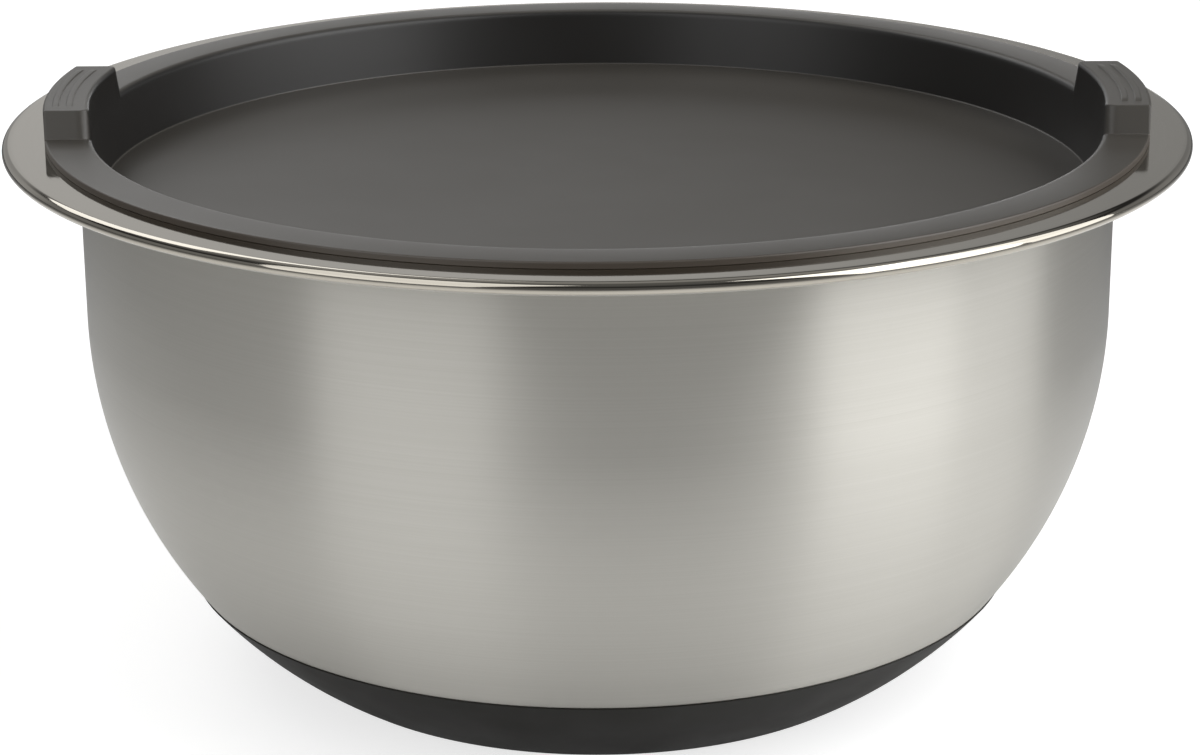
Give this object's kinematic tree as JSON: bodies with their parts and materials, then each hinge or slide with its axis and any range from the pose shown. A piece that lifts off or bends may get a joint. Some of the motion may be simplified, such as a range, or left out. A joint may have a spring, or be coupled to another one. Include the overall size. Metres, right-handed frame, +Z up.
{
  "type": "mixing bowl with lid",
  "caption": "Stainless steel mixing bowl with a flat flange and a rolled edge, a soft non-slip base, and a sunk plastic lid with two raised finger grips that lifts straight off",
  "frame": {"origin": "on the table, under the middle of the bowl", "axes": "+Z up along the axis that the bowl is turned round, +X to the right through a finger grip, -Y to the front"},
  "size_m": [0.26, 0.26, 0.1303],
  "materials": {
    "steel": "satin steel brushed round the bowl, flange and rolled edge polished bright",
    "base_silicone": "matte moulded silicone",
    "lid_plastic": "satin moulded plastic with a fine even grain",
    "seal_silicone": "smooth soft silicone"
  },
  "bodies": {
    "bowl": {"bowl_shell": "steel", "non_slip_base": "base_silicone"},
    "lid": {"lid": "lid_plastic", "lid_seal": "seal_silicone"}
  },
  "joints": [
    {"name": "lid_lift", "type": "slide", "parent": "bowl", "child": "lid", "axis": [0, 0, 1], "range_m": [0, 0.12]}
  ]
}
